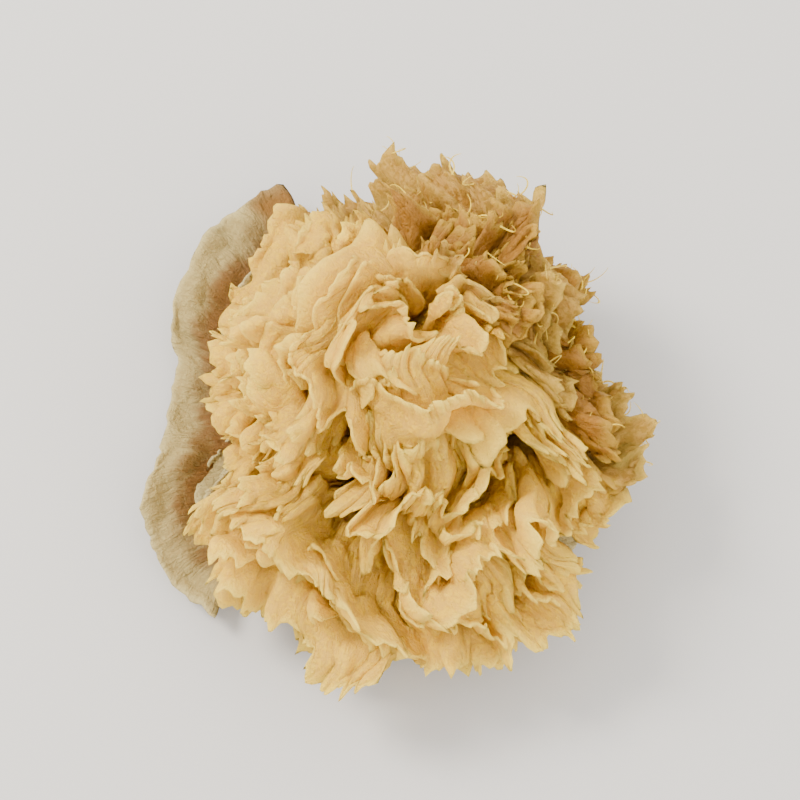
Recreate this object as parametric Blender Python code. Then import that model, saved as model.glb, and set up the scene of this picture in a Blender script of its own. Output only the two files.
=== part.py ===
"""A dried snow fungus head: thin ruffled fronds that rise in whorls from a trimmed base and open outward.

Metres, +Z up. The origin is the middle of the cut face under the base, on which the head rests.
"""

import math
from dataclasses import dataclass

import bmesh
import bpy
from mathutils import Vector

# Driving dimensions
DOME_HALF_WIDTH = 0.0250  # frilled dome, middle to side, along X
DOME_HALF_DEPTH = 0.0298  # frilled dome, middle to front or back, along Y
DOME_FLOOR = 0.0056  # height at which the frilled dome is widest
DOME_TOP = 0.0350
DOME_DRIFT = Vector((0.0028, -0.0014, 0.0))  # how far the dome's top stands off the base's middle
BASE_RADIUS = 0.0098
BASE_HEIGHT = 0.0056
FROND_THICKNESS = 0.00095
ROOT_GAP = 0.0007  # clear space between the base and a frond's root edge
LOWEST_ROOT = 0.0013  # height of the lowest root lines
BROAD_SWAY = (0.0016, 0.0040)  # how far the head is bent out of true, and the wave length / tau
SHORT_SWAY = (0.00055, 0.0018)
CALM_HEIGHT = (0.0037, 0.0132)  # the sway is less below the first height and full above the second
PUSH = 0.0080  # how far the front's top is pushed back over the middle
PUSH_MIDDLE = 0.005  # along X
PUSH_FRONT = (-0.027, -0.012)  # along Y, no push before the first and the full push from the second
PUSH_BACK = (-0.009, 0.020)  # along Y, the full push up to the first and none past the second
PUSH_SIDE = (0.009, 0.026)  # along X from its middle, the same
PUSH_TURN = 0.012  # along X from its middle, where the push changes to a pull
PUSH_HEIGHT = (0.009, 0.026)  # no push below the first and the full push above the second

# Shares
BASE_FOOT = 0.94  # the cut face's radius, as a share of the base's
ROOT_CROWDING = 0.88  # a root line's lean on the base, as a share of its rim's lean
BEND_PLACE = 0.42  # how far before the rim a frond bends over, as a share of its length
BEND_LIMIT = 0.8  # the same, as a share of the rim's distance from the axis
ROOT_WIDTH = 0.62  # a frond's width at its root, as a share of its width at the rim
CLOSED_SIDE = math.radians(-82)  # direction in which the fronds close over the middle
CLOSING = 2.3  # share of the curl that is taken away there
CLOSED_SHARPNESS = 3  # the higher, the narrower that side
CALM_SHARE = 0.4  # share of the sway that is left near the floor
LOBE_WAVES = 2.6  # of the rim's outline
LOBE_HEIGHT = 0.03
CORNER_CUT = 0.05  # how much shorter a frond is at its sides
ARCHED = "inner_frond_3"  # the frond whose rim is an arch
ARCH_CUT = 0.14  # how much shorter it is at its sides
LONG_LOBE = "skirt_lobe_1"
LONG_SIDES = (0.24, 0.08)  # how much longer the long lobe is at its back and front sides
LONG_BACK = (0.0, 0.8)  # where the back side's length begins and is full, from the lobe's middle to its side
LONG_FRONT = (0.2, 0.6)
FOLD_GROWTH = 1.5  # the folds deepen with this power of the rise
END_CALM = 0.35  # share of a fold's depth that is lost at a frond's sides
GOLDEN_SHARE = 0.6180339887

BASE_SIDES = 24
BASE_RINGS = 5
BASE_SWELLS = ((0.05, 3, 0.6), (0.03, 5, 2.0))  # share of the radius, waves round the base, phase

COLOURS = {
    "base": (0.42, 0.25, 0.09),
    "heart": (0.60, 0.38, 0.14),
    "frond": (0.67, 0.46, 0.19),
    "skirt": (0.50, 0.37, 0.19),
}
ROUGHNESS = 0.62


@dataclass
class Whorl:
    """One ring of fronds that leave the base at the same lean."""

    name: str
    tone: str
    lean: float  # of the rim, in degrees from the vertical
    curl: float  # how much further the rim turns outward, in degrees
    turn: float  # direction of the first frond, in degrees from +X
    shares: tuple  # for each frond, its share of the full circle
    reaches: tuple  # for each frond, its share of the dome's radius
    calm: tuple  # for each frond, the share of the fold depth that it has
    folds: float  # waves along a rim
    depth: float  # of a wave at the rim, middle to crest, in metres
    tuck: float  # how far a rim's ends stand in front of and behind its neighbours, in metres
    spread: float  # share of its sector that a frond's rim covers
    columns: int
    rows: int


WHORLS = (
    Whorl(
        "heart_frond", "heart", lean=9, curl=10, turn=42, shares=(0.5, 0.5), reaches=(0.98, 0.94), calm=(1, 1),
        folds=1.2, depth=0.0006, tuck=0.0006, spread=0.56, columns=12, rows=4,
    ),
    Whorl(
        "inner_frond", "frond", lean=26, curl=42, turn=44, shares=(0.30, 0.33, 0.37), reaches=(1.02, 0.95, 1.0),
        calm=(0.6, 0.9, 0.25), folds=2.6, depth=0.0018, tuck=0.0017, spread=0.92, columns=20, rows=4,
    ),
    Whorl(
        "middle_frond", "frond", lean=42, curl=46, turn=356, shares=(0.27, 0.23, 0.26, 0.24),
        reaches=(0.99, 1.03, 0.96, 0.82), calm=(0.8, 1, 1, 0.6), folds=3.3, depth=0.0019, tuck=0.0018, spread=0.96,
        columns=22, rows=4,
    ),
    Whorl(
        "outer_frond", "frond", lean=58, curl=46, turn=19, shares=(0.20, 0.22, 0.18, 0.19, 0.21),
        reaches=(0.98, 1.07, 0.95, 1.04, 1.0), calm=(1, 1, 1, 0.7, 1), folds=3.3, depth=0.0019, tuck=0.0018,
        spread=0.96, columns=20, rows=4,
    ),
    Whorl(
        "lower_frond", "frond", lean=75, curl=36, turn=54, shares=(1 / 6,) * 6,
        reaches=(0.98, 1.14, 0.98, 1.12, 1.03, 1.0), calm=(1,) * 6, folds=3.1, depth=0.0020, tuck=0.0017,
        spread=0.96, columns=19, rows=4,
    ),
    Whorl(
        "skirt_lobe", "skirt", lean=90, curl=-16, turn=168, shares=(0.31, 0.22, 0.24, 0.23),
        reaches=(1.16, 0.84, 0.84, 0.84), calm=(1.4, 1, 1, 1), folds=2.2, depth=0.0010, tuck=0.0012, spread=0.96,
        columns=20, rows=4,
    ),
)


def clear_scene():
    for obj in list(bpy.data.objects):
        bpy.data.objects.remove(obj)


def scatter(seed, low, high):
    """A value between low and high that looks random and never changes."""
    return low + (high - low) * math.modf(seed * GOLDEN_SHARE + 0.11)[0]


def material(tone):
    name = f"dried_{tone}"
    made = bpy.data.materials.get(name)
    if made is None:
        made = bpy.data.materials.new(name)
        made.use_nodes = True
        shader = made.node_tree.nodes["Principled BSDF"]
        shader.inputs["Base Color"].default_value = (*COLOURS[tone], 1.0)
        shader.inputs["Roughness"].default_value = ROUGHNESS
        shader.inputs["Metallic"].default_value = 0.0
    return made


def add_object(name, bm, tone):
    mesh = bpy.data.meshes.new(name)
    bm.to_mesh(mesh)
    bm.free()
    mesh.shade_smooth()
    mesh.materials.append(material(tone))
    obj = bpy.data.objects.new(name, mesh)
    bpy.context.scene.collection.objects.link(obj)
    return obj


def base_swell(azimuth):
    """The base's outline in plan, as a share of its radius."""
    return 1.0 + sum(size * math.sin(waves * azimuth + phase) for size, waves, phase in BASE_SWELLS)


def dome_radius(azimuth):
    """The frilled dome's outline in plan, an oval."""
    across = math.cos(azimuth) / DOME_HALF_WIDTH
    along = math.sin(azimuth) / DOME_HALF_DEPTH
    return 1.0 / math.hypot(across, along)


def growth_line(lean, curl, azimuth, reach):
    """Root, bend and rim of the line along which a frond grows, as distance from the axis and height."""
    root_lean = lean * ROOT_CROWDING
    root = Vector((
        (BASE_RADIUS * base_swell(azimuth) + ROOT_GAP) * math.sin(root_lean),
        max(LOWEST_ROOT, (BASE_HEIGHT + ROOT_GAP) * math.cos(root_lean)),
    ))
    rim = Vector((
        dome_radius(azimuth) * reach * math.sin(lean),
        DOME_FLOOR + (DOME_TOP - DOME_FLOOR) * reach * math.cos(lean),
    ))
    closed = max(0.0, math.cos(azimuth - CLOSED_SIDE)) ** CLOSED_SHARPNESS * max(0.0, math.cos(lean))
    last_lean = lean + curl * (1 - CLOSING * closed)
    span = min((rim - root).length * BEND_PLACE, rim.x * BEND_LIMIT)
    bend = rim - Vector((math.sin(last_lean), math.cos(last_lean))) * span
    return root, bend, rim


def growth_point(lean, curl, azimuth, reach, rise):
    """A point on a growth line, and the direction that a frond's outer face has there."""
    root, bend, rim = growth_line(lean, curl, azimuth, reach)
    flat = root * (1 - rise) ** 2 + bend * 2 * rise * (1 - rise) + rim * rise**2
    way = ((bend - root) * (1 - rise) + (rim - bend) * rise).normalized()
    outward = Vector((math.cos(azimuth), math.sin(azimuth), 0.0))
    point = outward * flat.x + Vector((0.0, 0.0, flat.y))
    facing = outward * way.y - Vector((0.0, 0.0, way.x))
    return point, facing


def eased(value, low, high):
    """0 below low and 1 above high, with a soft passage between them."""
    share = min(1.0, max(0.0, (value - low) / (high - low)))
    return share * share * (3 - 2 * share)


def sway(point, size, length):
    """How far a point is moved by the head's unevenness at one scale."""
    x, y, z = point / length
    return size * Vector((
        math.sin(y + 0.7 * z) + 0.5 * math.sin(1.3 * z - 0.6 * y + 2.0),
        math.sin(1.1 * x - 0.6 * z + 1.0) + 0.5 * math.sin(0.9 * z + 0.8 * x),
        math.sin(0.8 * x + 0.7 * y + 2.0) + 0.5 * math.sin(0.9 * y - 0.9 * x + 4.0),
    ))


def pushed_back(point):
    """The point after the front's top is pushed back, which turns the front fronds' outer faces up."""
    share = eased(point.y, *PUSH_FRONT) * (1 - eased(point.y, *PUSH_BACK))
    aside = abs(point.x - PUSH_MIDDLE)
    share *= math.cos(math.pi / 2 * aside / PUSH_TURN) * (1 - eased(aside, *PUSH_SIDE))
    share *= eased(point.z, *PUSH_HEIGHT)
    return point + Vector((0.0, PUSH * share, 0.0))


def swayed(point):
    """The point after the whole head is bent out of true, which leaves the base alone."""
    free = min(1.0, (point.length / DOME_HALF_WIDTH) ** 2)
    free *= CALM_SHARE + (1 - CALM_SHARE) * eased(point.z, *CALM_HEIGHT)
    bent = point + sway(point, *BROAD_SWAY) * free
    return bent + sway(bent, *SHORT_SWAY) * free


def frond_point(whorl, index, across, rise):
    """A point on a frond's middle surface.

    Across goes from -1 to 1 from side to side, and rise from 0 to 1 from root to rim.
    """
    lean = math.radians(whorl.lean)
    curl = math.radians(whorl.curl)
    sector = whorl.shares[index] * math.tau
    turned = sum(whorl.shares[: index + 1]) - (whorl.shares[0] + whorl.shares[index]) / 2
    middle = math.radians(whorl.turn) + turned * math.tau
    seed = index + 7 * whorl.lean
    width = whorl.spread * (ROOT_WIDTH + (1 - ROOT_WIDTH) * math.sin(rise * math.pi / 2))
    azimuth = middle + across * width * sector / 2
    outline = 1.0 + LOBE_HEIGHT * math.sin(LOBE_WAVES * across + seed) - CORNER_CUT * across**4
    name = frond_name(whorl, index)
    if name == LONG_LOBE:
        outline += LONG_SIDES[0] * eased(-across, *LONG_BACK) + LONG_SIDES[1] * eased(across, *LONG_FRONT)
    if name == ARCHED:
        outline -= ARCH_CUT * across**2
    point, facing = growth_point(lean, curl, azimuth, whorl.reaches[index] * outline, rise)
    wave = math.pi * whorl.folds * across + scatter(seed + 3, 0.0, math.tau)
    depth = whorl.depth * whorl.calm[index] * rise**FOLD_GROWTH * (1 - END_CALM * across**2)
    point += facing * (depth * math.sin(wave) + whorl.tuck * across * rise)
    point += DOME_DRIFT * rise * math.cos(lean / 2)
    return swayed(pushed_back(point))


def frond_name(whorl, index):
    return f"{whorl.name}_{index + 1}"


def add_frond(whorl, index):
    bm = bmesh.new()
    grid = [
        [
            bm.verts.new(frond_point(whorl, index, 2 * column / whorl.columns - 1, row / whorl.rows))
            for column in range(whorl.columns + 1)
        ]
        for row in range(whorl.rows + 1)
    ]
    for low, high in zip(grid, grid[1:]):
        for column in range(whorl.columns):
            bm.faces.new((low[column], low[column + 1], high[column + 1], high[column]))
    frond = add_object(frond_name(whorl, index), bm, whorl.tone)
    sheet = frond.modifiers.new("sheet", "SOLIDIFY")
    sheet.thickness = FROND_THICKNESS
    sheet.offset = 0.0
    return frond


def add_base():
    """The trimmed base: a low uneven dome with a flat cut face under it."""
    bm = bmesh.new()
    profile = [Vector((0.0, 0.0, 0.0)), Vector((BASE_RADIUS * BASE_FOOT, 0.0, 0.0))]
    for ring in range(BASE_RINGS):
        lean = math.pi / 2 * (1 - ring / BASE_RINGS) * BASE_FOOT
        profile.append(Vector((BASE_RADIUS * math.sin(lean), 0.0, BASE_HEIGHT * math.cos(lean))))
    profile.append(Vector((0.0, 0.0, BASE_HEIGHT)))
    corners = [bm.verts.new(place) for place in profile]
    line = corners + [bm.edges.new(pair) for pair in zip(corners, corners[1:])]
    bmesh.ops.spin(bm, geom=line, axis=(0, 0, 1), angle=math.tau, steps=BASE_SIDES, use_merge=True)
    bmesh.ops.remove_doubles(bm, verts=bm.verts, dist=1e-6)
    for vert in bm.verts:
        swell = base_swell(math.atan2(vert.co.y, vert.co.x))
        vert.co.x *= swell
        vert.co.y *= swell
    bmesh.ops.recalc_face_normals(bm, faces=bm.faces)
    return add_object("base", bm, "base")


def main():
    clear_scene()
    add_base()
    for whorl in WHORLS:
        for index in range(len(whorl.reaches)):
            add_frond(whorl, index)


main()
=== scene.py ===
"""Looks of a dried snow fungus head: crisp, translucent, tooth-edged fronds that fork and frill.

Every frond is grown by Geometry Nodes, along the same growth lines as the solid it stands for.
"""

import math
from dataclasses import dataclass, field

import bmesh
import bpy
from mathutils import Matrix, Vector, noise


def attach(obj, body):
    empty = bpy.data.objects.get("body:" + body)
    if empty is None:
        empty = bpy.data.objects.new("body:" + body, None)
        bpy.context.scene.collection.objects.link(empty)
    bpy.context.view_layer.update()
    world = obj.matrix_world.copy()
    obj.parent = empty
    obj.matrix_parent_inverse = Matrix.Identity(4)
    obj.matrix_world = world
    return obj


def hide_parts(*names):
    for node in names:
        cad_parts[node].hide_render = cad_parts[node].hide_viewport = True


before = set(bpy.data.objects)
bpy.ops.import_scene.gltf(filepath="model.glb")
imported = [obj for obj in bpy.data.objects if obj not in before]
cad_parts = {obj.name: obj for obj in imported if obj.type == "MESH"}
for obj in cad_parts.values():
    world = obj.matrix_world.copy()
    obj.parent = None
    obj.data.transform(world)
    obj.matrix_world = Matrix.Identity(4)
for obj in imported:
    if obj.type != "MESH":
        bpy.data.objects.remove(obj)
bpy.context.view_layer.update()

# The head's growth, in metres
DOME_HALF_WIDTH = 0.0250  # frilled dome, middle to side, along X
DOME_HALF_DEPTH = 0.0298  # frilled dome, middle to front or back, along Y
DOME_FLOOR = 0.0056  # height at which the frilled dome is widest
DOME_TOP = 0.0350
DOME_DRIFT = Vector((0.0028, -0.0014, 0.0))  # how far the dome's top stands off the base's middle
BASE_RADIUS = 0.0098
BASE_HEIGHT = 0.0056
ROOT_SINK = 0.0006  # how deep a frond is rooted in the base
LOWEST_ROOT = 0.0013  # height of the lowest root lines
BROAD_SWAY = (0.0016, 0.0040)  # how far the head is bent out of true, and the wave length / tau
SHORT_SWAY = (0.00055, 0.0018)
CALM_HEIGHT = (0.0037, 0.0132)  # the sway is less below the first height and full above the second
PUSH = 0.0080  # how far the front's top is pushed back over the middle
PUSH_MIDDLE = 0.005  # along X
PUSH_FRONT = (-0.027, -0.012)  # along Y, no push before the first and the full push from the second
PUSH_BACK = (-0.009, 0.020)  # along Y, the full push up to the first and none past the second
PUSH_SIDE = (0.009, 0.026)  # along X from its middle, the same
PUSH_TURN = 0.012  # along X from its middle, where the push changes to a pull
PUSH_HEIGHT = (0.009, 0.026)  # no push below the first and the full push above the second

# The head's growth, in shares
ROOT_CROWDING = 0.88  # a root line's lean on the base, as a share of its rim's lean
BEND_PLACE = 0.42  # how far before the rim a frond bends over, as a share of its length
BEND_LIMIT = 0.8  # the same, as a share of the rim's distance from the axis
ROOT_WIDTH = 0.62  # a solid's width at its root, as a share of its width at the rim
ROOT_FILL = 0.36  # what a sheet has more than its solid there, so that no gap is left
ROOT_FILL_ZONE = (0.1, 0.62)  # full below the first rise and none above the second
CLOSED_SIDE = math.radians(-82)  # direction in which the fronds close over the middle
CLOSING = 2.3  # share of the curl that is taken away there
CLOSED_SHARPNESS = 3  # the higher, the narrower that side
CALM_SHARE = 0.4  # share of the sway that is left near the floor
LOBE_WAVES = 2.6  # of the rim's outline
LOBE_HEIGHT = 0.03
CORNER_CUT = 0.05  # how much shorter a frond is at its sides
FORK_CORNER_CUT = 0.16
ARCHED = "inner_frond_3"  # the frond whose rim is an arch
ARCH_CUT = 0.14  # how much shorter it is at its sides
LONG_LOBE = "skirt_lobe_1"
LONG_SIDES = (0.24, 0.08)  # how much longer the long lobe is at its back and front sides
LONG_BACK = (0.0, 0.8)  # where the back side's length begins and is full, from middle to side
LONG_FRONT = (0.2, 0.6)
FOLD_GROWTH = 1.5  # the folds deepen with this power of the rise
FOLD_SLIDE = -0.28  # how far a fold's flanks slide sideways, as a share of its depth
END_CALM = 0.35  # share of a fold's depth that is lost at a frond's sides
ROW_CROWDING = 1.3  # the higher, the closer a sheet's rows stand at the rim
GOLDEN_SHARE = 0.6180339887
BASE_SWELLS = ((0.05, 3, 0.6), (0.03, 5, 2.0))  # share of the radius, waves round the base, phase
BASE_LUMPS = ((3.1, 0.10), (9.0, 0.05))  # how fine they are, and their share of the radius
STUB_WIDTH = 0.97  # of the solid base's, so that the lumps stay close to it
STUB_HEIGHT = 0.98
STUB_LIFT = 0.0006  # in metres

# A sheet's length in its noise, in metres. A short one draws the noise out from root to rim.
SHEET_LENGTH = 0.024
FOLD_LENGTH = 0.022
RIB_LENGTH = 0.005
FINE_RIB_LENGTH = 0.003  # for the ribs in the colours

# Noise on a sheet, in cells a metre
TOOTH_GRAIN = 420.0
TOOTH_PATCH_GRAIN = 240.0
LOBE_GRAIN = 170.0
FOLD_GRAIN = 105.0
ROLL_GRAIN = 150.0
RIB_GRAIN = 780.0
CREASES = ((250.0, 1.0), (620.0, 0.32))  # cells a metre, share of the crease depth
CREASE_WARP = (0.6, 0.3)  # grain of the noise that bends them, as a share, and how many cells far
CRUMPLES = ((120.0, 1.3), (300.0, 0.6))  # cells a metre, share of the crumple
SEED_STEP = 0.37  # how far apart in the noise two seeds lie

# How far a detail goes, as a share of its depth or height
LOBE_SHARE = 1.1
LEAST_BROAD_TOOTH = 0.35
TOOTH_PATCH_EDGE = (-0.4, 0.5)  # noise at which broad teeth start to grow, and are full
FINE_TOOTH_SHARE = 0.5
ROLL_SHARE = 1.4
CREASE_SHARES = (0.45, 0.55)  # all round, and what the busy side has more
RIB_CREASE = 0.6  # share in which a rib counts as a crease in the colours
FOLD_DRIFT = 2.6  # how far the folds wander along the rim, in radians

# Where a detail starts and where it is full, from 0 at the root to 1 at the rim
FOLD_DRIFT_ZONE = (0.0, 0.6)
LOBE_ZONE = (0.5, 1.0)
TOOTH_ZONE = (0.80, 1.0)
ROLL_ZONE = (0.72, 1.0)
BEND_ZONE = (0.55, 1.0)
CREASE_ZONE = (0.2, 0.7)
RIB_ZONE = (0.1, 0.6)
CRUMPLE_ZONE = (0.08, 0.7)

# Dried tissue, in metres
TISSUE_THICKNESS = 0.00034
RIM_TAPERS = ((0.0012, 0.75), (0.00012, 0.25))  # over which way how much of it goes at an edge
RIM_BEND = 0.0008  # how far a rim bends over outward
BROAD_TOOTH = 0.00105  # width
FINE_TOOTH = 0.00046
BROAD_TOOTH_JITTER = 0.0009
FINE_TOOTH_JITTER = 0.0004
BUSY_SIDE = math.radians(15)  # direction in which the frills are finest
BUSY_SHARES = (0.66, 0.40)  # share of the detail that shows all round, and what that side has more

# Thin torn strands on the browned side
STRAND_CURL = 0.0017
STRAND_RADIUS = 0.00017
STRAND_SWEEP = math.radians(150)
STRAND_TAPER = 0.8
STRAND_TURNS = ((-1.1, -1.1, 0.0), (1.1, 1.1, math.tau))  # least and most, in radians
STRAND_SIZES = ((0.3, 0.5, 0.5), (1.1, 1.1, 1.3))  # the same, in shares
STRAND_RISE = 1.2  # past the rim, which gives the strands their pale colour
STRAND_PLACE = (0.016, 0.024)  # along X + Y: none before the first, all from the second
STRAND_RIM = (0.90, 0.93)  # from root to rim, the same

# Colours of dried tissue
# Browned tissue on the upper-right side, darkened further there with painted shade: this colour and
# its mask below carry both
BROWN_AND_SHADE = (0.22, 0.085, 0.01)
BROWN_AND_SHADE_PLACE = (0.007, 0.022)  # along X + Y: none before the first, full from the second
LIGHT_THROUGH_TISSUE = (0.98, 0.84, 0.38)
LIGHT_THROUGH_BROWNED_SHADED = (0.90, 0.64, 0.20)
LIGHT_THROUGH_SKIRT = (0.68, 0.56, 0.30)
PALE_SHIFTS = (0.22, 0.26, 0.26)  # how far mottling, ribs and creases shift the paler colour
BLOTCH_GRAIN = 160.0  # cells a metre
BLOTCH_EDGE = (0.0, 0.5)  # noise at which a blotch starts, and is full
BLOTCH_SHARE = 0.35
BROWN_SHADE_GRAIN = 90.0
BROWN_SHADE_WEIGHTS = (0.7, 1.7)  # of the noise, and of the place
BROWN_SHADE_EDGE = (0.35, 1.1)  # their sum at which browning starts, and is full
BROWN_SHADE_SHARE = 0.92
# Painted shade in the wrinkle grooves: the wrinkle crests, sunk by the bump, are darkened toward
# the root colour
WRINKLE_CRESTS = (0.80, 1.0)
WRINKLE_SHADE_SHARE = 0.60
# The rims' paler colour: thin, paler tissue at the edge, brightened further as a painted highlight
RIM_HIGHLIGHT_SHARE = 0.75
RIM_START = 0.93  # from root to rim
RIM_SHIFT = 0.03  # how far mottling shifts that
# Where the tissue is browned and painted shade lies, the rims lose their paler colour
RIM_LOSS = 0.7  # share of the rim's colour that is lost where it is browned
STRAND_START = (1.05, 1.15)  # between the rim and the rise that marks the strands
ROUGHNESS = (0.55, 0.14)  # in the middle, and how far mottling shifts it
BUMP_SHARES = (0.7, 0.6)  # of wrinkles and of ribs
BUMP_DEPTH = 0.0006

FLOOR_SIZE = 3.0
FLOOR_GAP = 0.00005  # keeps the cut face and the floor apart
FLOOR_COLOUR = (0.47, 0.46, 0.45, 1.0)
SKY_COLOUR = (1.0, 0.98, 0.94, 1.0)
SKY_STRENGTH = 2.5
CAMERA_AIM = Vector((0.0005, 0.0005, 0.0150))
CAMERA_ELEVATION = math.radians(66)
CAMERA_DISTANCE = 0.215


@dataclass
class Whorl:
    """One ring of fronds that leave the base at the same lean."""

    name: str
    slot: str
    kind: str
    lean: int  # of the rim, in degrees from the vertical
    curl: int  # how much further the rim turns outward, in degrees
    turn: int  # direction of the first frond, in degrees from +X
    shares: tuple  # for each frond, its share of the full circle
    reaches: tuple  # for each frond, its share of the dome's radius
    calm: tuple  # for each frond, the share of the fold depth that it has
    folds: float  # waves along a rim
    depth: float  # of a wave at the rim, middle to crest, in metres
    tuck: float  # how far a rim's ends stand in front of and behind its neighbours, in metres
    spread: float  # share of its sector that a frond's rim covers


WHORLS = (
    Whorl(
        "heart_frond", "dried_heart", "Heart frond", lean=9, curl=10, turn=42,
        shares=(0.5, 0.5), reaches=(0.98, 0.94), calm=(1.0, 1.0),
        folds=2.6, depth=0.0013, tuck=0.0012, spread=0.92,
    ),
    Whorl(
        "inner_frond", "dried_frond", "Forked frond", lean=26, curl=42, turn=44,
        shares=(0.30, 0.33, 0.37), reaches=(1.02, 0.95, 1.0), calm=(0.6, 0.9, 0.25),
        folds=2.6, depth=0.0018, tuck=0.0017, spread=0.92,
    ),
    Whorl(
        "middle_frond", "dried_frond", "Forked frond", lean=42, curl=46, turn=356,
        shares=(0.27, 0.23, 0.26, 0.24), reaches=(0.99, 1.03, 0.96, 0.82),
        calm=(0.8, 1.0, 1.0, 0.6), folds=3.3, depth=0.0019, tuck=0.0018, spread=0.96,
    ),
    Whorl(
        "outer_frond", "dried_frond", "Forked frond", lean=58, curl=46, turn=19,
        shares=(0.20, 0.22, 0.18, 0.19, 0.21), reaches=(0.98, 1.07, 0.95, 1.04, 1.0),
        calm=(1.0, 1.0, 1.0, 0.7, 1.0), folds=3.3, depth=0.0019, tuck=0.0018, spread=0.96,
    ),
    Whorl(
        "lower_frond", "dried_frond", "Forked frond", lean=75, curl=36, turn=54,
        shares=(1 / 6,) * 6, reaches=(0.98, 1.14, 0.98, 1.12, 1.03, 1.0),
        calm=(1.0,) * 6, folds=3.1, depth=0.0020, tuck=0.0017, spread=0.96,
    ),
    Whorl(
        "skirt_lobe", "dried_skirt", "Skirt lobe", lean=90, curl=-16, turn=168,
        shares=(0.31, 0.22, 0.24, 0.23), reaches=(1.16, 0.84, 0.84, 0.84),
        calm=(1.4, 1.0, 1.0, 1.0), folds=2.2, depth=0.0010, tuck=0.0012, spread=0.96,
    ),
)


@dataclass
class Kind:
    """How fronds of one kind fork, and the detail in which they differ from the rest."""

    fork_leans: tuple  # how far each frondlet leans off its frond, in degrees, outward positive
    fork_spread: float  # share of the frond's width over which the frondlets stand
    fork_reach: float  # a frondlet's reach, as a share of the frond's
    detail: dict = field(default_factory=dict)


# Depths and sizes in metres, for every kind that doesn't say otherwise
DETAIL = {
    "Frill Depth": 0.00085, "Crimp Depth": 0.00025, "Tooth Height": 0.0016, "Rim Roll": 0.0012,
    "Crumple": 0.0010, "Crease Depth": 0.0016, "Rib Depth": 0.00030,
    "Thickness": TISSUE_THICKNESS, "Columns": 108, "Rows": 37,
    "Strand Density": 430000.0,  # strands a square metre
}
KINDS = {
    "Forked frond": Kind((-4.5, 4.5, 9.5, -7.0, 5.5, 8.5, -3.5, 6.0, 10.5), 0.86, 0.93),
    "Closed frond": Kind(
        (-5.0, -10.0, -13.0, -7.5), 0.80, 0.97,
        {
            "Frill Depth": 0.0002, "Crimp Depth": 0.0001, "Crumple": 0.0007, "Crease Depth": 0.0009,
            "Rib Depth": 0.00022,
        },
    ),
    "Front frond": Kind((-4.5, -14.0, 4.5, -9.0, 8.5, -12.0, 5.5, -16.0, -7.0), 0.90, 0.93),
    "Heart frond": Kind(
        (-4.0, 9.0, 15.0, 3.0, 11.0, 19.0, 6.0, 14.0, 8.0, 17.0, 22.0), 1.15, 0.96, {"Columns": 74}
    ),
    # Short frondlets keep the skirt's dark inner colour, which is painted shade under the frills
    "Skirt lobe": Kind(
        (-2.5, -6.0, -3.5, -7.0, -2.0, -5.0), 0.84, 0.74,
        {
            "Frill Depth": 0.0006, "Tooth Height": 0.0004, "Rim Roll": 0.0009,
            "Crumple": 0.0007, "Crease Depth": 0.0009, "Thickness": TISSUE_THICKNESS * 1.3,
            "Columns": 84, "Strand Density": 0.0,
        },
    ),
}
FRONT_KINDS = {"inner_frond_3": "Closed frond", "middle_frond_4": "Front frond"}


@dataclass
class Ripple:
    """Waves finer than the folds, which drift along the rim and come and go in patches."""

    waves: float  # for one wave of the folds
    drift: float  # in radians
    drift_grain: float  # cells a metre
    zone: tuple  # where they start and where they are full, from root to rim
    share: float  # of their depth that shows everywhere
    patchiness: float  # of their depth that comes and goes
    patch_grain: float  # cells a metre


FRILL = Ripple(
    waves=2.6, drift=3.4, drift_grain=150.0, zone=(0.30, 1.0),
    share=0.75, patchiness=0.6, patch_grain=110.0,
)
CRIMP = Ripple(
    waves=6.7, drift=4.5, drift_grain=260.0, zone=(0.60, 1.0),
    share=0.7, patchiness=0.7, patch_grain=170.0,
)
FRILL_SLIDE = -0.3  # how far a frill's flanks slide sideways, as a share of its depth


@dataclass
class Finish:
    """Colours of one tissue, and how light passes through it."""

    root: tuple
    face: tuple
    # rim: the rims' paler colour, partly a painted highlight
    rim: tuple
    glow: float  # share of the light that passes through
    through: tuple = LIGHT_THROUGH_TISSUE
    mottle: float = 0.004  # size of the mottling, in metres
    pale: tuple = (0.14, 0.66)  # where the face's colour starts and is full, from root to rim
    variation: float = 1.0  # share of the mottling, blotches and wrinkles that shows


FINISHES = {
    "dried_frond_tissue": Finish(
        (0.68, 0.41, 0.12), (0.98, 0.66, 0.05), (1.0, 0.80, 0.13), glow=0.57
    ),
    # The upper-right fronds: browned tissue with a darker root and less light through it, and
    # painted shade there
    "browned_shaded_frond_tissue": Finish(
        (0.40, 0.19, 0.04), (0.94, 0.60, 0.05), (1.0, 0.76, 0.08), glow=0.32,
        through=LIGHT_THROUGH_BROWNED_SHADED, pale=(0.42, 0.98),
    ),
    "dried_heart_tissue": Finish(
        (0.64, 0.38, 0.11), (0.95, 0.61, 0.05), (0.98, 0.76, 0.12), glow=0.57
    ),
    # The skirt stays dark over most of its rise: browner, thicker tissue near the base, and painted
    # shade where it runs under the frills
    "dried_skirt_tissue": Finish(
        (0.19, 0.085, 0.02), (0.46, 0.36, 0.14), (0.62, 0.52, 0.24), glow=0.35,
        through=LIGHT_THROUGH_SKIRT, mottle=0.005, pale=(0.70, 0.88), variation=0.3,
    ),
    "dried_base_flesh": Finish(
        (0.30, 0.15, 0.05), (0.42, 0.25, 0.09), (0.5, 0.33, 0.15), glow=0.1,
        mottle=0.003, pale=(0.25, 0.95),
    ),
}
# Fronds that take the browned finish with its painted shade
BROWNED_SHADED_FRONDS = ("inner_frond_1", "middle_frond_2", "outer_frond_1", "lower_frond_1")


def scatter(seed, low, high):
    """A value between low and high that looks random and never changes."""
    return low + (high - low) * math.modf(seed * GOLDEN_SHARE + 0.11)[0]


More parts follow.
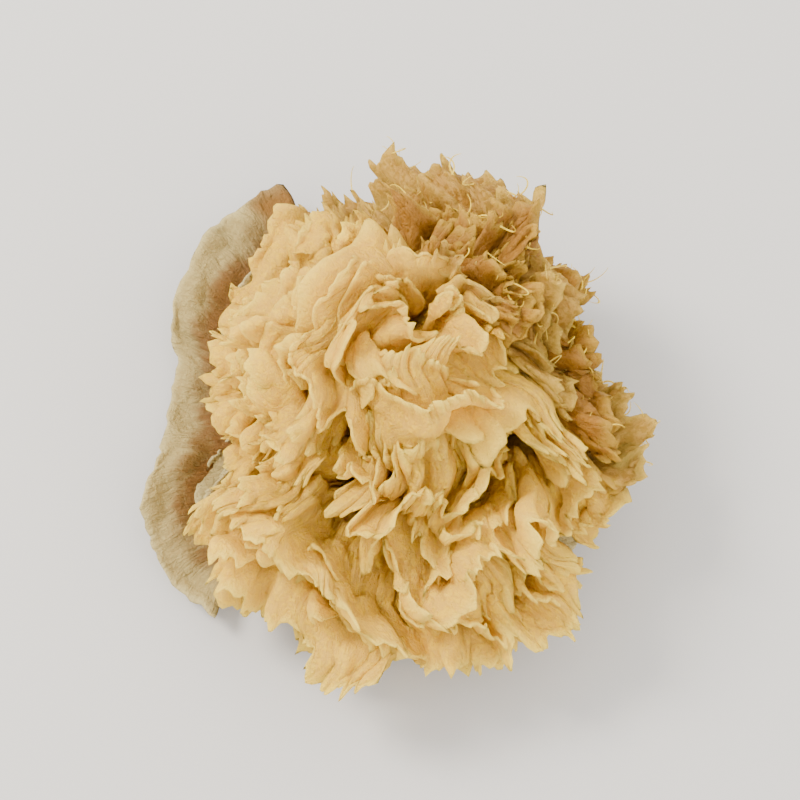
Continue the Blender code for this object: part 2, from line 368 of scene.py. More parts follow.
class Flow:
    """A value that runs through a node tree. Arithmetic on it adds the node that works it out.

    Where it meets a plain Vector, the flow stands on the left.
    """

    def __init__(self, tree, socket):
        self.tree = tree
        self.socket = socket

    def __add__(self, other):
        return reckon(self.tree, "ADD", self, other)

    def __radd__(self, other):
        return reckon(self.tree, "ADD", other, self)

    def __sub__(self, other):
        return reckon(self.tree, "SUBTRACT", self, other)

    def __rsub__(self, other):
        return reckon(self.tree, "SUBTRACT", other, self)

    def __mul__(self, other):
        return reckon(self.tree, "MULTIPLY", self, other)

    def __rmul__(self, other):
        return reckon(self.tree, "MULTIPLY", other, self)

    def __truediv__(self, other):
        return reckon(self.tree, "DIVIDE", self, other)

    def __rtruediv__(self, other):
        return reckon(self.tree, "DIVIDE", other, self)

    def __pow__(self, other):
        return reckon(self.tree, "POWER", self, other)


def is_vector(value):
    if isinstance(value, Flow):
        return value.socket.type in ("VECTOR", "RGBA")
    return isinstance(value, Vector)


def feed(tree, value, socket):
    """Links a flow to a socket, or sets a plain value on it."""
    if isinstance(value, Flow):
        tree.links.new(value.socket, socket)
    elif socket.type == "VECTOR" and isinstance(value, (int, float)):
        socket.default_value = (value, value, value)
    else:
        socket.default_value = value


def place(tree, kind, inputs=None, **settings):
    """Adds a node, sets it up, and feeds its inputs by name or number."""
    node = tree.nodes.new(kind)
    for name, value in settings.items():
        setattr(node, name, value)
    for name, value in (inputs or {}).items():
        feed(tree, value, node.inputs[name])
    return node


def made_by(tree, kind, inputs=None, **settings):
    """Adds a node and returns its first output."""
    return Flow(tree, place(tree, kind, inputs, **settings).outputs[0])


def reckon(tree, operation, *values):
    """Adds the math node for an operation on plain values or on vectors."""
    if not any(is_vector(value) for value in values):
        return made_by(tree, "ShaderNodeMath", dict(enumerate(values)), operation=operation)
    if operation == "MULTIPLY" and not all(is_vector(value) for value in values):
        flow, share = values if is_vector(values[0]) else reversed(values)
        return made_by(tree, "ShaderNodeVectorMath", {0: flow, "Scale": share}, operation="SCALE")
    node = place(tree, "ShaderNodeVectorMath", dict(enumerate(values)), operation=operation)
    return Flow(tree, node.outputs["Value" if operation in ("LENGTH", "DOT_PRODUCT") else "Vector"])


def sin(flow):
    return reckon(flow.tree, "SINE", flow)


def cos(flow):
    return reckon(flow.tree, "COSINE", flow)


def size_of(flow):
    return reckon(flow.tree, "ABSOLUTE", flow)


def highest(flow, limit):
    return reckon(flow.tree, "MAXIMUM", flow, limit)


def lowest(flow, limit):
    return reckon(flow.tree, "MINIMUM", flow, limit)


def vector(tree, x, y, z):
    return made_by(tree, "ShaderNodeCombineXYZ", {0: x, 1: y, 2: z})


def parts_of(flow):
    node = place(flow.tree, "ShaderNodeSeparateXYZ", {0: flow})
    return [Flow(flow.tree, socket) for socket in node.outputs]


def eased(flow, low, high):
    """0 below low and 1 above high, with a soft passage between them."""
    inputs = {"Value": flow, "From Min": low, "From Max": high}
    node = place(flow.tree, "ShaderNodeMapRange", inputs, interpolation_type="SMOOTHSTEP")
    return Flow(flow.tree, node.outputs["Result"])


def grain(where, scale, detail=2.0, roughness=0.5):
    """Noise between about -1 and 1."""
    inputs = {"Vector": where, "Scale": scale, "Detail": detail, "Roughness": roughness}
    return made_by(where.tree, "ShaderNodeTexNoise", inputs) * 2.0 - 1.0


def grain_vector(where, scale):
    """Noise between about -1 and 1 along each axis."""
    node = place(where.tree, "ShaderNodeTexNoise", {"Vector": where, "Scale": scale, "Detail": 1.0})
    return Flow(where.tree, node.outputs["Color"]) * 2.0 - Vector((1.0, 1.0, 1.0))


def creases(where, scale):
    """Facets that meet in sharp creases, as on crumpled paper, between about -1 and 1."""
    warp_grain, warp = CREASE_WARP
    warped = where + grain_vector(where, scale * warp_grain) * (warp / scale)
    inputs = {"Vector": warped, "Scale": scale}
    node = place(where.tree, "ShaderNodeTexVoronoi", inputs, feature="F1")
    return Flow(where.tree, node.outputs["Distance"]) * 2.0 - 0.9


def zigzag(flow, length):
    """A wave of straight flanks between 0 and 1."""
    return reckon(flow.tree, "PINGPONG", flow / length, 1.0)


def new_tree(name, kind="GeometryNodeTree"):
    tree = bpy.data.node_groups.new(name, kind)
    tree.nodes.new("NodeGroupInput").name = "in"
    tree.nodes.new("NodeGroupOutput").name = "out"
    return tree


def take(tree, name, default=None, kind="NodeSocketFloat"):
    """Adds a named input to a tree, and returns what comes in there."""
    socket = tree.interface.new_socket(name, in_out="INPUT", socket_type=kind)
    if default is not None:
        socket.default_value = default
    return Flow(tree, tree.nodes["in"].outputs[name])


def give(tree, name, flow, kind):
    """Adds a named output to a tree."""
    tree.interface.new_socket(name, in_out="OUTPUT", socket_type=kind)
    feed(tree, flow, tree.nodes["out"].inputs[name])


def stored(mesh, name, value):
    """The mesh with a value stored on its points."""
    inputs = {"Geometry": mesh, "Name": name, "Value": value}
    return made_by(mesh.tree, "GeometryNodeStoreNamedAttribute", inputs, domain="POINT")


def recalled(tree, name):
    """A value that was stored on the points."""
    return made_by(tree, "GeometryNodeInputNamedAttribute", {"Name": name}, data_type="FLOAT")


def joined(*meshes):
    node = place(meshes[0].tree, "GeometryNodeJoinGeometry")
    for mesh in meshes:
        mesh.tree.links.new(mesh.socket, node.inputs[0])
    return Flow(meshes[0].tree, node.outputs[0])


def base_swell(azimuth):
    """The base's radius in a direction, as a share of its middle radius."""
    swell = 1.0
    for size, waves, phase in BASE_SWELLS:
        swell = swell + size * sin(azimuth * waves + phase)
    return swell


def dome_radius(azimuth):
    """The frilled dome's radius in a direction, at its widest height."""
    across = cos(azimuth) / DOME_HALF_WIDTH
    along = sin(azimuth) / DOME_HALF_DEPTH
    return 1.0 / (across * across + along * along) ** 0.5


def growth_point(lean, curl, azimuth, reach, rise):
    """A point on a growth line, the outer face's direction there, and the sideways direction."""
    tree = lean.tree
    root_lean = lean * ROOT_CROWDING
    root_out = (BASE_RADIUS * base_swell(azimuth) - ROOT_SINK) * sin(root_lean)
    root_up = highest((BASE_HEIGHT - ROOT_SINK) * cos(root_lean), LOWEST_ROOT)
    rim_out = dome_radius(azimuth) * reach * sin(lean)
    rim_up = DOME_FLOOR + (DOME_TOP - DOME_FLOOR) * reach * cos(lean)
    closed = highest(cos(azimuth - CLOSED_SIDE), 0.0) ** CLOSED_SHARPNESS * highest(cos(lean), 0.0)
    last_lean = lean + curl * (1.0 - CLOSING * closed)
    span = ((rim_out - root_out) ** 2.0 + (rim_up - root_up) ** 2.0) ** 0.5 * BEND_PLACE
    span = lowest(span, rim_out * BEND_LIMIT)
    bend_out = rim_out - sin(last_lean) * span
    bend_up = rim_up - cos(last_lean) * span
    fall = 1.0 - rise
    out = root_out * fall * fall + bend_out * 2.0 * rise * fall + rim_out * rise * rise
    up = root_up * fall * fall + bend_up * 2.0 * rise * fall + rim_up * rise * rise
    way_out = (bend_out - root_out) * fall + (rim_out - bend_out) * rise
    way_up = (bend_up - root_up) * fall + (rim_up - bend_up) * rise
    length = (way_out ** 2.0 + way_up ** 2.0) ** 0.5
    outward = vector(tree, cos(azimuth), sin(azimuth), 0.0)
    sideways = vector(tree, sin(azimuth) * -1.0, cos(azimuth), 0.0)
    point = outward * out + vector(tree, 0.0, 0.0, up)
    facing = outward * (way_up / length) - vector(tree, 0.0, 0.0, way_out / length)
    return point, facing, sideways


def sway(point, size, length):
    """How far smooth waves of this size and length move a point."""
    tree = point.tree
    x, y, z = parts_of(point * (1.0 / length))
    return size * vector(
        tree,
        sin(y + 0.7 * z) + 0.5 * sin(1.3 * z - 0.6 * y + 2.0),
        sin(1.1 * x - 0.6 * z + 1.0) + 0.5 * sin(0.9 * z + 0.8 * x),
        sin(0.8 * x + 0.7 * y + 2.0) + 0.5 * sin(0.9 * y - 0.9 * x + 4.0),
    )


def pushed_back(point):
    """The point after the front's top is pushed back over the middle, as the solids are."""
    x, y, z = parts_of(point)
    share = eased(y, *PUSH_FRONT) * (1.0 - eased(y, *PUSH_BACK)) * eased(z, *PUSH_HEIGHT)
    aside = size_of(x - PUSH_MIDDLE)
    share = share * cos(aside * (math.pi / 2 / PUSH_TURN)) * (1.0 - eased(aside, *PUSH_SIDE))
    return point + vector(point.tree, 0.0, share * PUSH, 0.0)


def swayed(point):
    """The point after the whole head is bent out of true, as the solids are."""
    share = reckon(point.tree, "LENGTH", point) / DOME_HALF_WIDTH
    height = parts_of(point)[2]
    left = CALM_SHARE + (1 - CALM_SHARE) * eased(height, *CALM_HEIGHT)
    free = lowest(share * share, 1.0) * left
    bent = point + sway(point, *BROAD_SWAY) * free
    return bent + sway(bent, *SHORT_SWAY) * free


# What a frond's tree hands on to each of its sheets, and what only its frondlets change
FROND_SIZES = (
    "Lean", "Curl", "Middle", "Sector", "Reach", "Spread", "Folds", "Fold Depth", "Fold Phase",
    "Tuck", "Frill Depth", "Crimp Depth", "Tooth Height", "Rim Roll", "Crumple", "Crease Depth",
    "Rib Depth", "Long Back", "Long Front", "Arch Cut", "Seed",
)
FORK_SIZES = {
    "Fork Rise": 0.0, "Fork Lean": 0.0, "Fork Place": 0.0, "Fork Width": 1.0, "Fork Drift": 0.0,
    "Corner Cut": CORNER_CUT, "Rim Bend": RIM_BEND,
}


# A frondlet's own sizes: their middle values, and how far each varies from frondlet to frondlet
FORK_MIDDLES = {"Fork Rise": 0.42, "Fork Width": 0.32, "Fork Drift": 0.0, "Rim Bend": 0.0016}
FORK_SPREADS = {
    "Reach": 0.05, "Fork Rise": 0.12, "Fork Lean": 0.03, "Fork Place": 0.10, "Fork Width": 0.08,
    "Fork Drift": 2.6, "Rim Bend": 0.0012,
}
DRAW_STEP = 20
FORK_SEED_STEP = 11.3
FORK_COLUMNS = 0.36  # of its frond's
FORK_ROWS = 0.60


def rim_outline(size, across, own_across):
    """The rim's distance along its growth line, as a share of the reach."""
    lobes = LOBE_HEIGHT * sin(LOBE_WAVES * across + size["Seed"])
    outline = 1.0 + lobes - size["Corner Cut"] * own_across ** 4.0
    outline = outline + size["Long Back"] * eased(across * -1.0, *LONG_BACK)
    outline = outline + size["Long Front"] * eased(across, *LONG_FRONT)
    return outline - size["Arch Cut"] * across ** 2.0


def rim_teeth(on_rim, along, rise, busy):
    """How far lobes, broad teeth and fine teeth move the rim, as a share of the tooth height."""
    jitter = grain(on_rim, TOOTH_GRAIN)
    lobes = grain(on_rim, LOBE_GRAIN) * LOBE_SHARE
    patches = LEAST_BROAD_TOOTH + eased(grain(on_rim, TOOTH_PATCH_GRAIN), *TOOTH_PATCH_EDGE)
    broad_teeth = (zigzag(along + jitter * BROAD_TOOTH_JITTER, BROAD_TOOTH) - 0.5) * patches
    fine_teeth = (zigzag(along + jitter * FINE_TOOTH_JITTER, FINE_TOOTH) - 0.5) * FINE_TOOTH_SHARE
    lobed = lobes * busy * eased(rise, *LOBE_ZONE)
    return lobed + (broad_teeth + fine_teeth) * eased(rise, *TOOTH_ZONE)


def rippled(ripple, fold_wave, on_sheet, rise, busy):
    """A ripple's wave, and the share of its depth that shows."""
    wave = fold_wave * ripple.waves + grain(on_sheet, ripple.drift_grain) * ripple.drift
    patches = ripple.share + ripple.patchiness * grain(on_sheet, ripple.patch_grain)
    return wave, eased(rise, *ripple.zone) * patches * busy


def thickness_share(own_across, height, width, fork_width):
    """The share of the tissue's thickness at each place: it thins out to nothing at every edge."""
    to_side = (1.0 - size_of(own_across)) * width * fork_width * DOME_HALF_WIDTH
    to_rim = (0.5 - height) * DOME_HALF_WIDTH
    to_edge = lowest(lowest(to_side, to_rim), (height + 0.5) * DOME_HALF_WIDTH)
    broad, sharp = (eased(to_edge, 0.0, way) * share for way, share in RIM_TAPERS)
    return broad + sharp


def sheet_tree():
    """One ruffled sheet, from its root or fork to its toothed rim."""
    tree = new_tree("Ruffled sheet")
    size = {name: take(tree, name) for name in FROND_SIZES}
    size.update({name: take(tree, name, default) for name, default in FORK_SIZES.items()})
    columns = take(tree, "Columns", 100, "NodeSocketInt")
    rows = take(tree, "Rows", 30, "NodeSocketInt")
    lean, seed = size["Lean"], size["Seed"]

    # The grid runs from -1 to 1 across, and its height from -0.5 at the root to 0.5 at the rim
    inputs = {"Size X": 2.0, "Size Y": 1.0, "Vertices X": columns, "Vertices Y": rows}
    mesh = Flow(tree, place(tree, "GeometryNodeMeshGrid", inputs).outputs["Mesh"])
    own_across, height, _ = parts_of(made_by(tree, "GeometryNodeInputPosition"))
    share = 1.0 - (0.5 - height) ** ROW_CROWDING
    rise = size["Fork Rise"] + (1.0 - size["Fork Rise"]) * share
    forked = eased(rise, size["Fork Rise"], 1.0) * share
    across = size["Fork Place"] + own_across * size["Fork Width"]

    root_share = ROOT_WIDTH + ROOT_FILL * (1.0 - eased(rise, *ROOT_FILL_ZONE))
    rim_share = (1 - ROOT_WIDTH) * sin(rise * (math.pi / 2))
    width = size["Spread"] * (root_share + rim_share) * size["Sector"] * 0.5
    azimuth = size["Middle"] + across * width
    along = (azimuth - size["Middle"]) * dome_radius(azimuth) * sin(lean)
    on_rim = vector(tree, along, seed, 0.0)
    on_sheet = vector(tree, along, rise * SHEET_LENGTH, seed * SEED_STEP)
    busy = BUSY_SHARES[0] + BUSY_SHARES[1] * cos(azimuth - BUSY_SIDE)

    teeth = rim_teeth(on_rim, along, rise, busy) * size["Tooth Height"]
    reach = size["Reach"] * rim_outline(size, across, own_across) + teeth * (1.0 / DOME_HALF_WIDTH)
    leaned = lean + size["Fork Lean"] * forked
    point, facing, sideways = growth_point(leaned, size["Curl"], azimuth, reach, rise)

    wave = size["Folds"] * across * math.pi + size["Fold Phase"] + size["Fork Drift"] * forked
    drift = grain(vector(tree, along, rise * FOLD_LENGTH, seed), FOLD_GRAIN)
    wave = wave + drift * FOLD_DRIFT * eased(rise, *FOLD_DRIFT_ZONE)
    depth = size["Fold Depth"] * rise ** FOLD_GROWTH * (1.0 - END_CALM * across ** 2.0)
    lift = depth * sin(wave) + size["Tuck"] * across * rise
    slide = sin(wave * 2.0) * depth * FOLD_SLIDE * rise

    frill_wave, frill_share = rippled(FRILL, wave, on_sheet, rise, busy)
    lift = lift + size["Frill Depth"] * frill_share * sin(frill_wave)
    slide = slide + sin(frill_wave * 2.0) * size["Frill Depth"] * frill_share * FRILL_SLIDE
    crimp_wave, crimp_share = rippled(CRIMP, wave, on_sheet, rise, busy)
    lift = lift + size["Crimp Depth"] * crimp_share * sin(crimp_wave)
    roll = eased(rise, *ROLL_ZONE) ** 2.0 * grain(on_rim, ROLL_GRAIN)
    bend = eased(rise, *BEND_ZONE) ** 2.0
    lift = lift + size["Rim Roll"] * roll * ROLL_SHARE + size["Rim Bend"] * bend
    broad, fine = (creases(on_sheet, fineness) * share for fineness, share in CREASES)
    creased = broad + fine
    crease_share = CREASE_SHARES[0] + CREASE_SHARES[1] * busy
    lift = lift + creased * size["Crease Depth"] * crease_share * eased(rise, *CREASE_ZONE)
    ribs = grain(vector(tree, along, rise * RIB_LENGTH, seed), RIB_GRAIN)
    lift = lift + ribs * size["Rib Depth"] * eased(rise, *RIB_ZONE)

    point = point + facing * lift + sideways * slide
    point = point + rise * cos(lean * 0.5) * DOME_DRIFT
    point = swayed(pushed_back(point))
    free = eased(rise, *CRUMPLE_ZONE)
    for fineness, share in CRUMPLES:
        point = point + grain_vector(point, fineness) * size["Crumple"] * free * share

    thin = thickness_share(own_across, height, width, size["Fork Width"])
    values = {"rise": rise, "thin": thin, "along": along, "crease": creased + ribs * RIB_CREASE}
    for name, value in values.items():
        mesh = stored(mesh, name, value)
    shaped = made_by(tree, "GeometryNodeSetPosition", {"Geometry": mesh, "Position": point})
    give(tree, "Sheet", shaped, "NodeSocketGeometry")
    return tree


def thickened(mesh, thickness):
    """The sheets as closed bodies: two faces that part in the middle and meet at every edge."""
    tree = mesh.tree
    normal = made_by(tree, "GeometryNodeInputNormal")
    half = recalled(tree, "thin") * (thickness * 0.5)
    front, back = (
        made_by(tree, "GeometryNodeSetPosition", {"Geometry": mesh, "Offset": normal * way})
        for way in (half, half * -1.0)
    )
    both = joined(front, made_by(tree, "GeometryNodeFlipFaces", {"Mesh": back}))
    return made_by(tree, "GeometryNodeMergeByDistance", {"Geometry": both, "Distance": 1e-6})


def random_vector(tree, low, high):
    """A random vector for each point, from the node's own fixed seed."""
    inputs = {0: low, 1: high}
    return made_by(tree, "FunctionNodeRandomValue", inputs, data_type="FLOAT_VECTOR")


def strands(mesh, seed, density):
    """Thin torn strands that curl away from the rims on the browned side."""
    tree = mesh.tree
    inputs = {
        "Resolution": 12, "Radius": STRAND_CURL, "Start Angle": 0.0, "Sweep Angle": STRAND_SWEEP,
    }
    arc = made_by(tree, "GeometryNodeCurveArc", inputs, mode="RADIUS")
    inputs = {"Geometry": arc, "Translation": Vector((-STRAND_CURL, 0.0, 0.0))}
    rooted = made_by(tree, "GeometryNodeTransform", inputs)
    inputs = {"Geometry": rooted, "Rotation": Vector((math.radians(90), 0.0, 0.0))}
    risen = made_by(tree, "GeometryNodeTransform", inputs)
    along = Flow(tree, tree.nodes.new("GeometryNodeSplineParameter").outputs["Factor"])
    inputs = {"Resolution": 5, "Radius": STRAND_RADIUS}
    ring = made_by(tree, "GeometryNodeCurvePrimitiveCircle", inputs, mode="RADIUS")
    width = 1.0 - along * STRAND_TAPER
    inputs = {"Curve": risen, "Profile Curve": ring, "Scale": width, "Fill Caps": True}
    strand = stored(made_by(tree, "GeometryNodeCurveToMesh", inputs), "rise", STRAND_RISE)

    x, y, _ = parts_of(made_by(tree, "GeometryNodeInputPosition"))
    chosen = eased(recalled(tree, "rise"), *STRAND_RIM) * eased(x + y, *STRAND_PLACE)
    inputs = {"Mesh": mesh, "Density": chosen * density, "Seed": seed}
    spots = place(tree, "GeometryNodeDistributePointsOnFaces", inputs)
    turn = random_vector(tree, *STRAND_TURNS)
    inputs = {"Rotation": Flow(tree, spots.outputs["Rotation"]), "Rotate By": turn}
    turned = made_by(tree, "FunctionNodeRotateRotation", inputs, rotation_space="LOCAL")
    inputs = {
        "Points": Flow(tree, spots.outputs["Points"]), "Instance": strand, "Rotation": turned,
        "Scale": random_vector(tree, *STRAND_SIZES),
    }
    return made_by(tree, "GeometryNodeInstanceOnPoints", inputs)


def wobble(seed, number, spread):
    """A value that differs from frond to frond and from number to number, and never changes."""
    return sin(seed * 12.9 + number * 4.37) * spread


def frond_tree(sheet, name, kind):
    """A frond with the frondlets that fork off its faces, and its torn strands."""
    tree = new_tree(name)
    size = {item: take(tree, item) for item in FROND_SIZES}
    seed = size["Seed"]
    thickness = take(tree, "Thickness", TISSUE_THICKNESS)
    columns = take(tree, "Columns", 100, "NodeSocketInt")
    rows = take(tree, "Rows", 30, "NodeSocketInt")
    strand_density = take(tree, "Strand Density", 0.0)
    finish = take(tree, "Finish", None, "NodeSocketMaterial")

    inputs = {**size, "Columns": columns, "Rows": rows}
    main = made_by(tree, "GeometryNodeGroup", inputs, node_tree=sheet)
    sheets = [main]
    for number, lean in enumerate(kind.fork_leans):
        across = (number + 0.5) / len(kind.fork_leans) * 2.0 - 1.0
        middles = {
            **FORK_MIDDLES, "Reach": kind.fork_reach, "Fork Lean": math.radians(lean),
            "Fork Place": across * kind.fork_spread,
        }
        own = {
            item: middles[item] + wobble(seed, number + DRAW_STEP * draw, spread)
            for draw, (item, spread) in enumerate(FORK_SPREADS.items())
        }
        own.update({
            "Reach": size["Reach"] * own["Reach"],
            "Seed": seed + FORK_SEED_STEP * (number + 1),
            "Corner Cut": FORK_CORNER_CUT,
            "Columns": columns * FORK_COLUMNS,
            "Rows": rows * FORK_ROWS,
        })
        sheets.append(made_by(tree, "GeometryNodeGroup", {**size, **own}, node_tree=sheet))
    body = thickened(joined(*sheets), thickness)
    whole = joined(body, strands(main, seed, strand_density))
    real = made_by(tree, "GeometryNodeRealizeInstances", {0: whole})
    coated = made_by(tree, "GeometryNodeSetMaterial", {"Geometry": real, "Material": finish})
    give(tree, "Frond", coated, "NodeSocketGeometry")
    return tree


def grown(tree, name, sizes):
    """The plain mesh object that a tree makes from these sizes."""
    obj = bpy.data.objects.new(name, bpy.data.meshes.new(name))
    bpy.context.scene.collection.objects.link(obj)
    form = obj.modifiers.new("form", "NODES")
    form.node_group = tree
    for item in tree.interface.items_tree:
        if item.item_type == "SOCKET" and item.in_out == "INPUT":
            form[item.identifier] = sizes[item.name]
    depsgraph = bpy.context.evaluated_depsgraph_get()
    mesh = bpy.data.meshes.new_from_object(obj.evaluated_get(depsgraph), depsgraph=depsgraph)
    obj.modifiers.clear()
    obj.data = mesh
    mesh.shade_smooth()
    return obj


def attribute(tree, name):
    return Flow(tree, place(tree, "ShaderNodeAttribute", attribute_name=name).outputs["Fac"])


def blend(tree, share, first, second):
    """The first colour at a share of 0, the second at 1, and a mix between."""
    node = place(tree, "ShaderNodeMix", data_type="RGBA")
    for value, identifier in ((share, "Factor_Float"), (first, "A_Color"), (second, "B_Color")):
        feed(tree, value, next(s for s in node.inputs if s.identifier == identifier))
    return Flow(tree, next(s for s in node.outputs if s.identifier == "Result_Color"))


def tissue_group():
    """Colour, roughness and height of dried fungus tissue, shared by every frond."""
    tree = new_tree("Dried tissue", "ShaderNodeTree")
    root_colour = take(tree, "Root Colour", (0.4, 0.2, 0.06, 1.0), "NodeSocketColor")
    face_colour = take(tree, "Face Colour", (0.7, 0.5, 0.2, 1.0), "NodeSocketColor")
    rim_and_highlight_colour = take(tree, "Rim And Highlight Colour", (0.8, 0.65, 0.36, 1.0), "NodeSocketColor")
    brown_and_shade_colour = take(tree, "Brown And Shade Colour", (*BROWN_AND_SHADE, 1.0), "NodeSocketColor")
    mottle_size = take(tree, "Mottle Size", 0.004)
    wrinkle_size = take(tree, "Wrinkle Size", 0.0011)
    rib_size = take(tree, "Rib Size", 0.0006)
    pale_start = take(tree, "Pale Start", 0.25)
    pale_end = take(tree, "Pale End", 0.95)
    variation = take(tree, "Variation", 1.0)
    rise = attribute(tree, "rise")
    along = attribute(tree, "along")
    crease = attribute(tree, "crease")
    where = Flow(tree, place(tree, "ShaderNodeTexCoord").outputs["Object"])

    on_sheet = vector(tree, along, rise * FINE_RIB_LENGTH, 0.0)
    mottle = grain(where, 1.0 / mottle_size, detail=4.0, roughness=0.6)
    ribs = grain(on_sheet, 1.0 / rib_size, detail=3.0, roughness=0.6)
    wrinkles = 1.0 - size_of(grain(where, 1.0 / wrinkle_size, detail=4.0, roughness=0.6))
    shift = mottle * PALE_SHIFTS[0] + ribs * PALE_SHIFTS[1] + crease * PALE_SHIFTS[2]
    pale = eased(rise + shift * variation, pale_start, pale_end)
    body = blend(tree, pale, root_colour, face_colour)
    blotch = eased(grain(where, BLOTCH_GRAIN, detail=3.0, roughness=0.6), *BLOTCH_EDGE)
    body = blend(tree, blotch * variation * BLOTCH_SHARE, body, root_colour)
    x, y, _ = parts_of(where)
    # Browning on the upper-right side, which also carries painted shade there
    patches = grain(where, BROWN_SHADE_GRAIN, detail=3.0, roughness=0.6) * BROWN_SHADE_WEIGHTS[0]
    browned_and_shaded = eased(patches + eased(x + y, *BROWN_AND_SHADE_PLACE) * BROWN_SHADE_WEIGHTS[1], *BROWN_SHADE_EDGE)
    body = blend(tree, browned_and_shaded * BROWN_SHADE_SHARE, body, brown_and_shade_colour)
    # Painted shade in the wrinkle grooves
    wrinkle_shade = eased(wrinkles, *WRINKLE_CRESTS)
    body = blend(tree, wrinkle_shade * variation * WRINKLE_SHADE_SHARE, body, root_colour)
    # Paler rims: thin tissue at the edge, and a painted highlight
    rim_highlight = eased(rise + mottle * RIM_SHIFT, RIM_START, 1.0) * (1.0 - browned_and_shaded * RIM_LOSS)
    colour = blend(tree, rim_highlight * RIM_HIGHLIGHT_SHARE, body, rim_and_highlight_colour)
    colour = blend(tree, eased(rise, *STRAND_START), colour, rim_and_highlight_colour)
    give(tree, "Colour", colour, "NodeSocketColor")
    give(tree, "Roughness", ROUGHNESS[0] + ROUGHNESS[1] * mottle, "NodeSocketFloat")
    give(tree, "Height", wrinkles * BUMP_SHARES[0] + ribs * BUMP_SHARES[1], "NodeSocketFloat")
    return tree


def tissue_material(tissue, name, finish):
    """Dried tissue: light passes through it a little."""
    made = bpy.data.materials.new(name)
    made.use_nodes = True
    tree = made.node_tree
    shader = tree.nodes["Principled BSDF"]
    inputs = {
        "Root Colour": (*finish.root, 1.0), "Face Colour": (*finish.face, 1.0),
        "Rim And Highlight Colour": (*finish.rim, 1.0), "Brown And Shade Colour": (*BROWN_AND_SHADE, 1.0),
        "Pale Start": finish.pale[0], "Pale End": finish.pale[1],
        "Mottle Size": finish.mottle, "Variation": finish.variation,
    }
    group = place(tree, "ShaderNodeGroup", node_tree=tissue)
    for socket, value in inputs.items():
        group.inputs[socket].default_value = value
    height = Flow(tree, group.outputs["Height"])
    inputs = {"Height": height, "Strength": 1.0, "Distance": -BUMP_DEPTH}
    bump = place(tree, "ShaderNodeBump", inputs)
    tree.links.new(group.outputs["Colour"], shader.inputs["Base Color"])
    tree.links.new(group.outputs["Roughness"], shader.inputs["Roughness"])
    tree.links.new(bump.outputs[0], shader.inputs["Normal"])
    shader.inputs["Specular IOR Level"].default_value = 0.18
    glowing = place(tree, "ShaderNodeBsdfTranslucent")
    glowing.inputs["Color"].default_value = (*finish.through, 1.0)
    tree.links.new(bump.outputs[0], glowing.inputs["Normal"])
    mixed = place(tree, "ShaderNodeMixShader", {"Fac": finish.glow})
    tree.links.new(shader.outputs[0], mixed.inputs[1])
    tree.links.new(glowing.outputs[0], mixed.inputs[2])
    tree.links.new(mixed.outputs[0], tree.nodes["Material Output"].inputs["Surface"])
    return made


def frond_sizes(whorl, index, node, middle, sector):
    """Where one frond of a whorl stands, and how it is folded."""
    seed = index + 7 * whorl.lean
    long_back, long_front = LONG_SIDES if node == LONG_LOBE else (0.0, 0.0)
    return {
        "Lean": math.radians(whorl.lean), "Curl": math.radians(whorl.curl),
        "Middle": middle, "Sector": sector, "Reach": whorl.reaches[index], "Spread": whorl.spread,
        "Folds": whorl.folds, "Fold Depth": whorl.depth * whorl.calm[index],
        "Fold Phase": scatter(seed + 3, 0.0, math.tau), "Tuck": whorl.tuck,
        "Long Back": long_back, "Long Front": long_front,
        "Arch Cut": ARCH_CUT if node == ARCHED else 0.0, "Seed": float(seed),
    }


def add_fronds(materials):
    sheet = sheet_tree()
    trees = {name: frond_tree(sheet, name, kind) for name, kind in KINDS.items()}
    for whorl in WHORLS:
        edge = math.radians(whorl.turn) - whorl.shares[0] * math.pi
        for index, share in enumerate(whorl.shares):
            node = f"{whorl.name}_{index + 1}"
            kind = FRONT_KINDS.get(node, whorl.kind)
            tissue = "browned_shaded_frond_tissue" if node in BROWNED_SHADED_FRONDS else f"{whorl.slot}_tissue"
            sector = share * math.tau
            middle = edge + sector / 2
            edge = middle + sector / 2
            sizes = frond_sizes(whorl, index, node, middle, sector)
            sizes.update({**DETAIL, **KINDS[kind].detail, "Finish": materials[tissue]})
            piece = grown(trees[kind], f"{node}_tissue", sizes)
            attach(piece, "root")
            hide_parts(node)


def add_base(material):
    """The trimmed base: a knobbly stub with a flat cut face."""
    bm = bmesh.new()
    bmesh.ops.create_icosphere(bm, subdivisions=6, radius=1.0)
    for vert in bm.verts:
        way = vert.co.normalized()
        azimuth = math.atan2(way.y, way.x)
        swells = (size * math.sin(waves * azimuth + phase) for size, waves, phase in BASE_SWELLS)
        lump = sum(noise.noise(way * fineness) * height for fineness, height in BASE_LUMPS)
        out = BASE_RADIUS * (1.0 + sum(swells)) * (1.0 + lump) * STUB_WIDTH
        up = way.z * BASE_HEIGHT * (1.0 + lump) * STUB_HEIGHT + STUB_LIFT
        vert.co = Vector((way.x * out, way.y * out, max(0.0, up)))
    mesh = bpy.data.meshes.new("base_stub")
    bmesh.ops.recalc_face_normals(bm, faces=bm.faces)
    bm.to_mesh(mesh)
    bm.free()
    mesh.shade_smooth()
    mesh.materials.append(material)
    stub = bpy.data.objects.new("base_stub", mesh)
    bpy.context.scene.collection.objects.link(stub)
    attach(stub, "root")
    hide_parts("base")


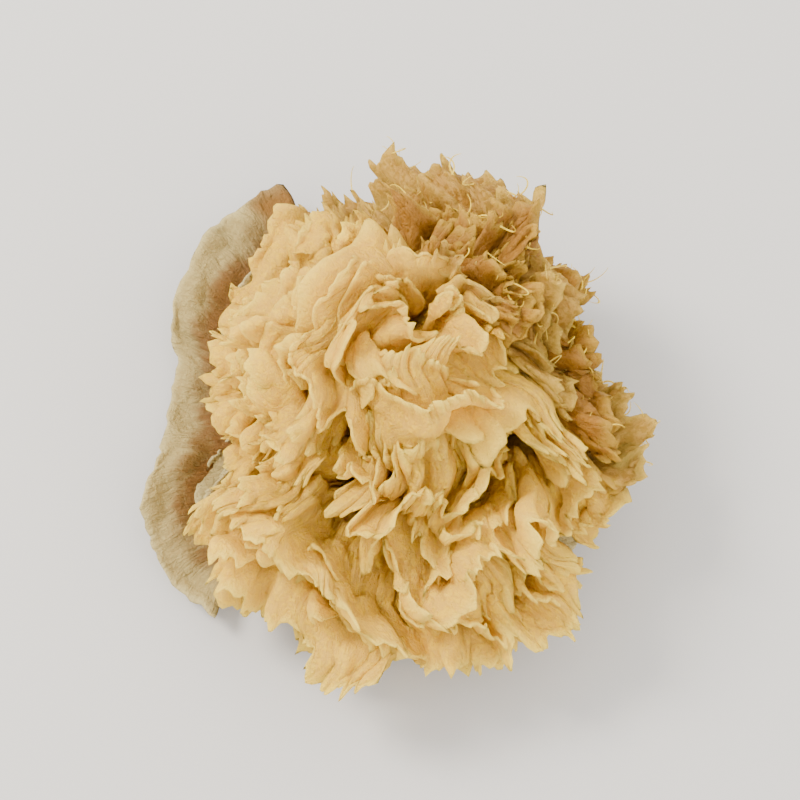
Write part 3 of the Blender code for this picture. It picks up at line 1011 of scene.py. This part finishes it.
def add_light(name, way, distance, size, power, colour):
    light = bpy.data.lights.new(name, "AREA")
    light.energy = power
    light.size = size
    light.color = colour
    lamp = bpy.data.objects.new(name, light)
    bpy.context.scene.collection.objects.link(lamp)
    way = Vector(way).normalized()
    lamp.location = way * distance
    lamp.rotation_mode = "QUATERNION"
    lamp.rotation_quaternion = way.to_track_quat("Z", "Y")


def add_floor():
    ways = ((-1, -1), (1, -1), (1, 1), (-1, 1))
    corners = [(x * FLOOR_SIZE, y * FLOOR_SIZE, -FLOOR_GAP) for x, y in ways]
    mesh = bpy.data.meshes.new("floor")
    mesh.from_pydata(corners, [], [(0, 1, 2, 3)])
    paint = bpy.data.materials.new("floor_paint")
    paint.use_nodes = True
    shader = paint.node_tree.nodes["Principled BSDF"]
    shader.inputs["Base Color"].default_value = FLOOR_COLOUR
    shader.inputs["Roughness"].default_value = 0.8
    mesh.materials.append(paint)
    floor = bpy.data.objects.new("floor", mesh)
    bpy.context.scene.collection.objects.link(floor)


def add_lights():
    world = bpy.data.worlds.new("studio")
    world.use_nodes = True
    sky = world.node_tree.nodes["Background"]
    sky.inputs["Color"].default_value = SKY_COLOUR
    sky.inputs["Strength"].default_value = SKY_STRENGTH
    bpy.context.scene.world = world
    add_light(
        "key", (-0.65, 0.25, 0.85), distance=0.6, size=0.18, power=6.0, colour=(1.0, 0.94, 0.84)
    )
    add_light(
        "fill", (0.8, -0.6, 0.6), distance=0.7, size=0.50, power=2.5, colour=(1.0, 0.95, 0.87)
    )


def add_camera():
    camera = bpy.data.cameras.new("camera")
    camera.lens = 85
    camera.clip_start = 0.01
    holder = bpy.data.objects.new("camera", camera)
    bpy.context.scene.collection.objects.link(holder)
    bpy.context.scene.camera = holder
    back = Vector((0.0, -math.cos(CAMERA_ELEVATION), math.sin(CAMERA_ELEVATION)))
    holder.location = CAMERA_AIM + back * CAMERA_DISTANCE
    holder.rotation_mode = "QUATERNION"
    holder.rotation_quaternion = (-back).to_track_quat("-Z", "Y")


def main():
    tissue = tissue_group()
    materials = {name: tissue_material(tissue, name, finish) for name, finish in FINISHES.items()}
    add_fronds(materials)
    add_base(materials["dried_base_flesh"])
    add_floor()
    add_lights()
    add_camera()
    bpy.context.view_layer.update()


main()
